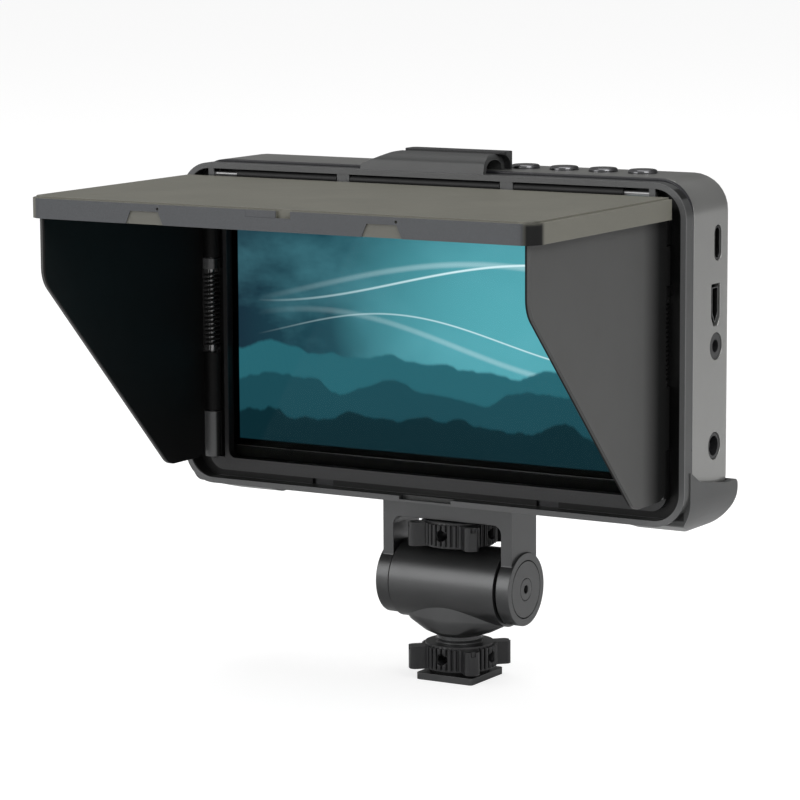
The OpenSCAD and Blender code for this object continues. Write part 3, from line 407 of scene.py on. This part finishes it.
def dress(node, material, bevel):
    """A copy of a CAD node's mesh with rounded edges and a material, which stands for the node."""
    mesh = frame["nodes"][node].data.copy()
    bm = bmesh.new()
    bm.from_mesh(mesh)
    bmesh.ops.remove_doubles(bm, verts=bm.verts, dist=WELD)
    bmesh.ops.dissolve_limit(bm, angle_limit=FLAT_ANGLE, verts=bm.verts, edges=bm.edges)
    for radius, steps, chosen in ROUNDINGS.get(node, ()):
        round_chosen(bm, radius, steps, chosen)
    bm.to_mesh(mesh)
    bm.free()
    mesh.materials.clear()
    mesh.materials.append(material)
    piece = bpy.data.objects.new(node + ".look", mesh)
    bpy.context.scene.collection.objects.link(piece)
    finish_mesh(piece, bevel)
    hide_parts(node)
    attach(piece, body_of(node))


# Wider edge radii: radius in millimetres, steps, and a test of the edge's middle
ROUNDINGS = {
    "hood_frame": (
        (1.6, 5, lambda p: p.z < 66 and abs(p.x) > 59 and p.y > -15.5),
        (0.7, 4, lambda p: p.z > 149.2 or (p.y < -19.65 and (abs(p.x) > 81.2 or p.z < 54.4 or p.z > 147.6))),
    ),
    "clip_tab": ((0.9, 4, lambda p: p.z > 152),),
    "rear_shell": ((0.5, 3, lambda p: p.y < -11 and (abs(p.x) > 80 or p.z > 148 or p.z < 55)),
                   (0.3, 3, lambda p: p.x > 80.3 and p.y > -8)),
}

# Painted shade: near-black colour for the inner sides of the hood, lid and wings, where shade falls
PAINTED_INNER_SHADE = (0.006, 0.006, 0.006)
# Each zone: lowest and highest corner, colour, specular level, softness of its edge in millimetres
# Hood: painted shade in the channel inside the frame, a dark grey on the ring's front face, and a painted
# light that lifts the lip's front face
HOOD_PAINTED_LIGHT_ZONES = (((-80.15, -19.0, 55.55), (80.15, -13.0, 146.45), PAINTED_INNER_SHADE, 0.25, 0.15),
              ((-75.2, -17.1, 57.3), (75.2, -16.5, 144.7), (0.022, 0.022, 0.023), 0.4, 0.15),
              ((-83.0, -20.5, 40.0), (83.0, -19.2, 160.0), (0.092, 0.093, 0.094), 0.5, 0.2))
# Lid: painted shade on its right side, underneath and near its hinge, a painted dark reflection down its
# front right corner, and a cooler painted reflection on its front rim
LID_PAINTED_LIGHT_ZONES = (((79.9, -110.0, 120.0), (90.0, 0.0, 144.2), (0.050, 0.050, 0.048), 0.5, 0.15),
             ((-77.4, -97.8, 120.0), (77.4, -10.0, 143.3), PAINTED_INNER_SHADE, 0.2, 0.15),
             ((-90.0, -110.0, 120.0), (90.0, -98.8, 144.2), (0.056, 0.059, 0.064), 0.5, 0.15),
             ((75.6, -110.0, 120.0), (80.7, -94.0, 144.2), (0.007, 0.007, 0.007), 0.15, 0.8),
             ((-90.0, -22.1, 120.0), (90.0, -10.0, 160.0), (0.012, 0.012, 0.012), 0.3, 0.1))
# Left wing: painted shade on its inner side
LEFT_WING_PAINTED_SHADE = (((-75.4, -120.0, 0.0), (0.0, 0.0, 200.0), PAINTED_INNER_SHADE, 0.12, 0.15),)
# Right wing: its outer side darkens towards the hinge, a painted shade, and its inner side takes painted
# shade
RIGHT_WING_PAINTED_SHADE = (((-200.0, -29.0, 0.0), (200.0, 20.0, 300.0), (0.008, 0.008, 0.008), 0.12, 5.0),
               ((0.0, -120.0, 0.0), (75.4, 0.0, 200.0), PAINTED_INNER_SHADE, 0.12, 0.15))

MATERIALS = {
    "mount": surface("mount anodised", (0.092, 0.093, 0.094), 0.34, 0.85, 0.5, 7000, 0.10, 0.08, 0.35),
    "steel": surface("bright steel", (0.55, 0.55, 0.56), 0.28, 1.0, 0.5, 4000, 0.05, 0.06),
    "knob": surface("knob nylon", (0.016, 0.016, 0.017), 0.34, 0.0, 0.5, 6000, 0.12, 0.10, 0.5),
    "rubber": surface("black rubber", (0.018, 0.018, 0.018), 0.75, 0.0, 0.3, 5000, 0.25, 0.10),
    # The body's top zone is painted darker than its sides: a painted shade standing in for the dimmer
    # reflection the top takes
    "body": surface("body anodised", (0.300, 0.300, 0.293), 0.38, 0.80, 0.5, 9000, 0.10, 0.05, 0.25,
                    zones=(((-76.0, -30.0, 148.6), (76.0, 30.0, 200.0), (0.150, 0.150, 0.142), 0.4, 1.5),)),
    "bezel": surface("bezel plastic", (0.014, 0.014, 0.017), 0.30, 0.0, 0.5, 6000, 0.04, 0.06),
    "black": surface("black plastic", (0.012, 0.012, 0.013), 0.40, 0.0, 0.5, 6000, 0.10, 0.10),
    "hood": surface("hood plastic", (0.038, 0.039, 0.039), 0.36, 0.0, 0.5, 7000, 0.12, 0.06, 0.3,
                    zones=HOOD_PAINTED_LIGHT_ZONES),
    # The lid's top keeps this lighter warm colour while its zones paint its sides darker: lit and shaded
    # copies of one plastic
    "lid": surface("lid plastic", (0.120, 0.117, 0.096), 0.45, 0.0, 0.5, 7000, 0.14, 0.05, 0.3,
                   zones=LID_PAINTED_LIGHT_ZONES),
    "wing_left": surface("left wing plastic", (0.048, 0.048, 0.047), 0.48, 0.0, 0.5, 7000, 0.12, 0.05, 0.2,
                         zones=LEFT_WING_PAINTED_SHADE),
    "wing_right": surface("right wing plastic", (0.048, 0.048, 0.047), 0.48, 0.0, 0.5, 7000, 0.12, 0.05, 0.2,
                          zones=RIGHT_WING_PAINTED_SHADE),
    "spring": surface("spring steel", (0.008, 0.008, 0.008), 0.60, 0.0, 0.12, 3000, 0.05, 0.08),
    "pin": surface("hinge pin steel", (0.26, 0.26, 0.26), 0.35, 0.9, 0.5, 3000, 0.05, 0.08),
    # Socket steel darkened: painted shade for the dark insides of the sockets
    "socket": surface("socket steel with painted shade", (0.10, 0.10, 0.10), 0.30, 1.0, 0.5, 3000, 0.05, 0.08),
    "brass": surface("turned brass", (0.60, 0.43, 0.16), 0.30, 1.0, 0.5, 4000, 0.05, 0.05),
    "chrome": surface("button chrome", (0.12, 0.12, 0.125), 0.20, 1.0, 0.5, 4000, 0.02, 0.05),
    "release": surface("release red", (0.36, 0.035, 0.020), 0.42, 0.0, 0.5, 6000, 0.08, 0.06, 0.3),
    "board": surface("solder mask", (0.010, 0.070, 0.030), 0.35, 0.0, 0.5, 3000, 0.05, 0.20),
    "film": surface("cable film", (0.42, 0.19, 0.03), 0.35, 0.0, 0.5, 3000, 0.05, 0.10),
    "diffuser": surface("diffuser", (0.80, 0.80, 0.80), 0.60, 0.0, 0.5, 4000, 0.05, 0.03),
    "glass": glass_material(),
    "screen": screen_material(),
}

# Node: material, edge radius in millimetres
LOOKS = {
    "shoe_foot": ("mount", 0.15), "lock_washer": ("spring", 0.08), "lock_knob": ("knob", 0.25),
    "tilt_barrel": ("mount", 0.35), "tilt_axle": ("mount", 0.15), "friction_washers": ("rubber", 0.05),
    "fork_bracket": ("mount", 0.5), "end_cap_left": ("mount", 0.2), "end_cap_right": ("mount", 0.2),
    "fork_pad": ("rubber", 0.3), "thumb_wheel": ("knob", 0.25), "tripod_screw": ("steel", 0.0),
    "rear_shell": ("body", 0.2), "front_bezel": ("bezel", 0.2), "cover_glass": ("glass", 0.15),
    "lcd_panel": ("screen", 0.0), "backlight": ("diffuser", 0.1), "panel_tray": ("steel", 0.1),
    "main_board": ("board", 0.05), "display_cable": ("film", 0.05), "button_board": ("board", 0.05),
    "button_1": ("chrome", 0.2), "button_2": ("chrome", 0.2), "button_3": ("chrome", 0.2),
    "button_4": ("chrome", 0.2), "usb_c_socket": ("socket", 0.05), "video_socket": ("socket", 0.05),
    "headphone_socket": ("black", 0.15), "power_socket": ("black", 0.15), "tripod_insert": ("brass", 0.1),
    "battery_plate": ("black", 0.3), "battery_contacts": ("black", 0.1), "battery_release": ("release", 0.3),
    "shell_screws": ("spring", 0.08), "hood_frame": ("hood", 0.2), "clip_tab": ("black", 0.2),
    "lid_hinge_pin": ("pin", 0.1), "lid": ("lid", 0.2), "lid_latch": ("lid", 0.1),
    "wing_left": ("wing_left", 0.3), "wing_right": ("wing_right", 0.3), "wing_pin_left": ("pin", 0.1),
    "wing_pin_right": ("pin", 0.1), "wing_spring_left": ("spring", 0.0), "wing_spring_right": ("spring", 0.0),
}


make_camera()
make_world()
make_floor()
# Name, place and size in metres, watts
for lamp_row in (("key", (1.6, -0.9, 1.5), 1.2, 26), ("fill", (-1.2, -2.0, 0.9), 1.4, 14),
                 ("top", (0, 0.2, 2.0), 1.6, 16)):
    area_lamp(*lamp_row)
for node, (kind, bevel) in LOOKS.items():
    dress(node, MATERIALS[kind], bevel)

bpy.context.scene.view_settings.view_transform = "Standard"
